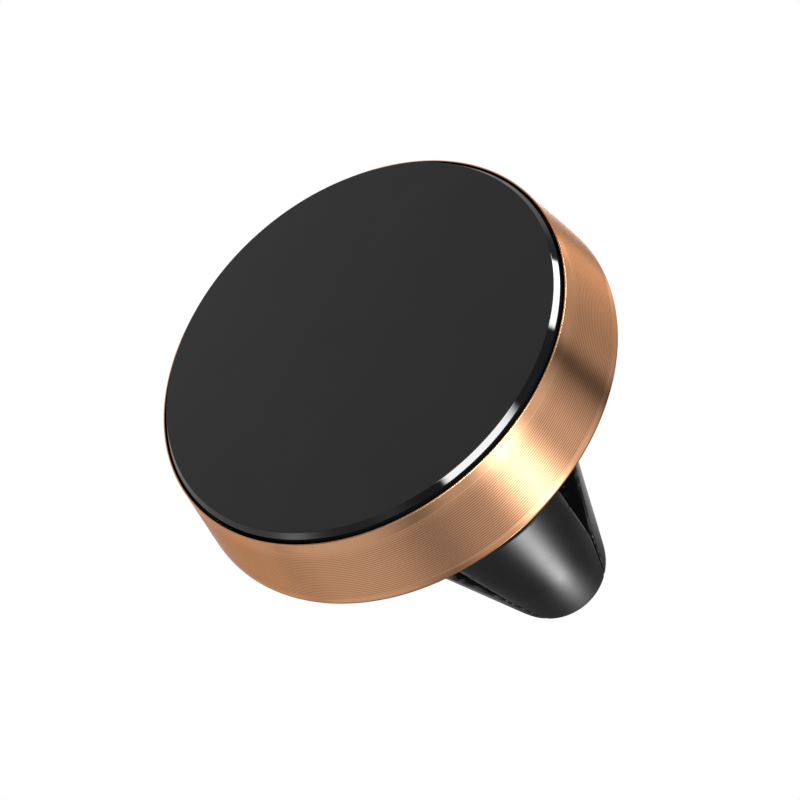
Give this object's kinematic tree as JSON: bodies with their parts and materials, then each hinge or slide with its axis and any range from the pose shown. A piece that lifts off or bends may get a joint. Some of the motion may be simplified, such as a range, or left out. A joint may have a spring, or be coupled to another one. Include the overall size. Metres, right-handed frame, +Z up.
{
  "type": "magnetic car vent phone mount",
  "caption": "Round magnetic phone mount with a black glass face, a grooved copper-coloured ring, a ball joint and a slotted vent clip.",
  "frame": {"origin": "centre of the face that the phone rests on", "axes": "-Y out of the phone face, +Y along the vent clip to its tip, +Z up, +X to the right of a viewer who faces the phone face"},
  "size_m": [0.04, 0.0435, 0.04],
  "materials": {
    "black_glass": "glossy black glass with a polished bevel",
    "foam_tape": "matt foam tape",
    "copper_anodised": "copper anodised, fine lathe grooves",
    "tray_plastic": "moulded",
    "magnet_nickel": "nickel plated",
    "yoke_steel": "zinc plated",
    "cover_plastic": "fine texture",
    "screw_steel": "zinc plated",
    "collar_plastic": "satin",
    "liner_nylon": "natural nylon",
    "stud_steel": "polished",
    "hub_plastic": "satin",
    "boot_silicone": "satin silicone",
    "prong_plastic": "moulded",
    "claw_silicone": "satin silicone"
  },
  "bodies": {
    "clip": {"clip_base": "hub_plastic", "base_boot": "boot_silicone", "ball_stud": "stud_steel", "stud_washer": "screw_steel", "stud_nut": "screw_steel"},
    "seat_tilt": {"seat_front": "liner_nylon"},
    "seat_swing": {"seat_rear": "liner_nylon"},
    "head": {"face_plate": "black_glass", "face_adhesive": "foam_tape", "trim_ring": "copper_anodised", "magnet_tray": "tray_plastic", "magnet_1": "magnet_nickel", "magnet_2": "magnet_nickel", "magnet_3": "magnet_nickel", "magnet_4": "magnet_nickel", "magnet_5": "magnet_nickel", "magnet_6": "magnet_nickel", "yoke_ring": "yoke_steel", "rear_cover": "cover_plastic", "cover_screws": "screw_steel", "socket_collar": "collar_plastic"},
    "claw_1": {"claw_core_1": "prong_plastic", "claw_sleeve_1": "claw_silicone"},
    "claw_2": {"claw_core_2": "prong_plastic", "claw_sleeve_2": "claw_silicone"},
    "claw_3": {"claw_core_3": "prong_plastic", "claw_sleeve_3": "claw_silicone"},
    "claw_4": {"claw_core_4": "prong_plastic", "claw_sleeve_4": "claw_silicone"}
  },
  "joints": [
    {"name": "head_tilt", "type": "hinge", "parent": "clip", "child": "seat_tilt", "pos_m": [0, 0.0113, 0], "axis": [1, 0, 0], "range_deg": [-20, 20]},
    {"name": "head_swing", "type": "hinge", "parent": "seat_tilt", "child": "seat_swing", "pos_m": [0, 0.0113, 0], "axis": [0, 0, 1], "range_deg": [-20, 20]},
    {"name": "head_spin", "type": "hinge", "parent": "seat_swing", "child": "head", "pos_m": [0, 0.0113, 0], "axis": [0, 1, 0], "continuous": true},
    {"name": "claw_1_flex", "type": "hinge", "parent": "clip", "child": "claw_1", "pos_m": [0.00728, 0.02029, -0.00728], "axis": [-0.7071, 0, -0.7071], "range_deg": [0, 4], "stiffness_Nm_per_rad": 1},
    {"name": "claw_2_flex", "type": "hinge", "parent": "clip", "child": "claw_2", "pos_m": [-0.00728, 0.02029, -0.00728], "axis": [-0.7071, 0, 0.7071], "range_deg": [0, 4], "stiffness_Nm_per_rad": 1},
    {"name": "claw_3_flex", "type": "hinge", "parent": "clip", "child": "claw_3", "pos_m": [-0.00728, 0.02029, 0.00728], "axis": [0.7071, 0, 0.7071], "range_deg": [0, 4], "stiffness_Nm_per_rad": 1},
    {"name": "claw_4_flex", "type": "hinge", "parent": "clip", "child": "claw_4", "pos_m": [0.00728, 0.02029, 0.00728], "axis": [0.7071, 0, -0.7071], "range_deg": [0, 4], "stiffness_Nm_per_rad": 1}
  ]
}
